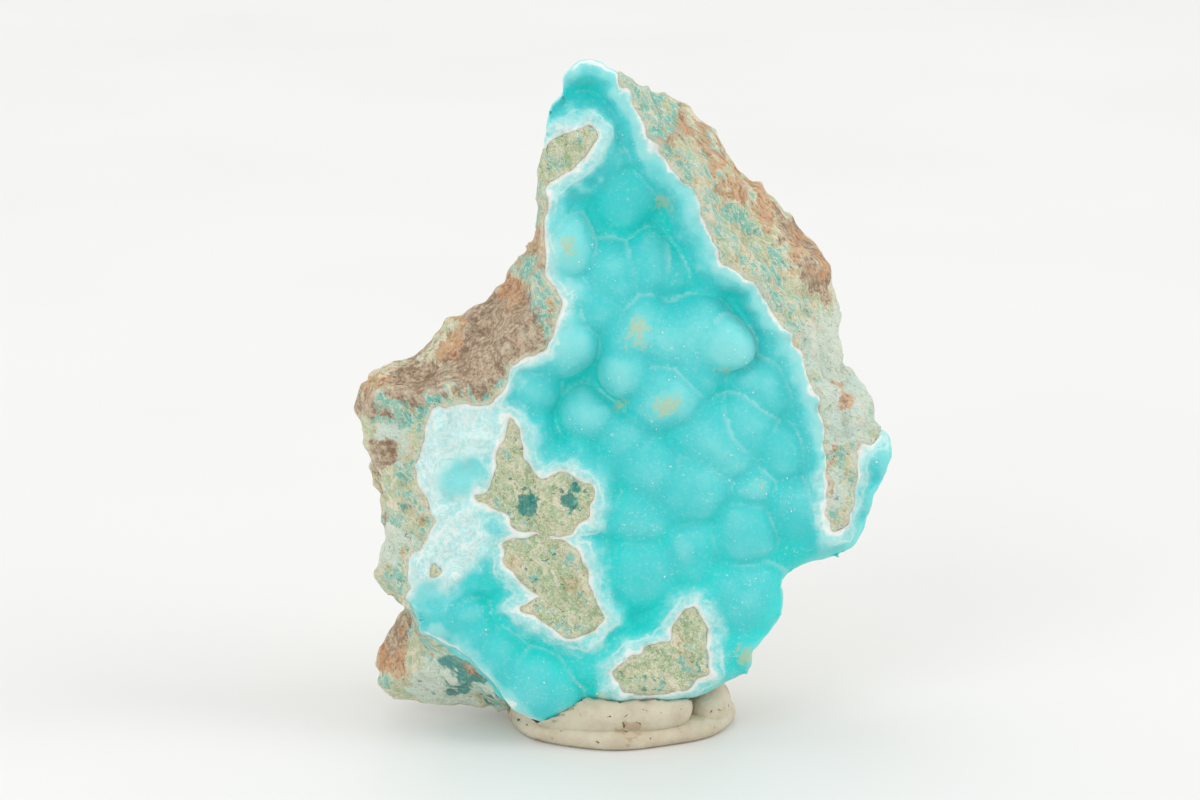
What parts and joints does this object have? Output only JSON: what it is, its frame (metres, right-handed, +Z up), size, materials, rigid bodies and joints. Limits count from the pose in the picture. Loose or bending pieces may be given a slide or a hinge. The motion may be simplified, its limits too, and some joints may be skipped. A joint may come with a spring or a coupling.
{
  "type": "raw hemimorphite specimen",
  "caption": "Raw hemimorphite hand specimen: a turquoise botryoidal crust on brown and green host rock, standing upright in a coil of cream display putty.",
  "frame": {"origin": "on the resting surface, under the middle of the putty coil", "axes": "+Z up, the crusted face looks towards -Y, +X to the right as seen from the front"},
  "size_m": [0.0538, 0.0227, 0.0683],
  "materials": {
    "crust": "waxy satin, turquoise with white broken edges",
    "rock": "rough and granular, tan, brown and pale green",
    "putty": "soft matt, cream"
  },
  "bodies": {
    "root": {"hemimorphite_crust": "crust", "matrix_rock": "rock", "putty_coil": "putty"}
  },
  "joints": []
}
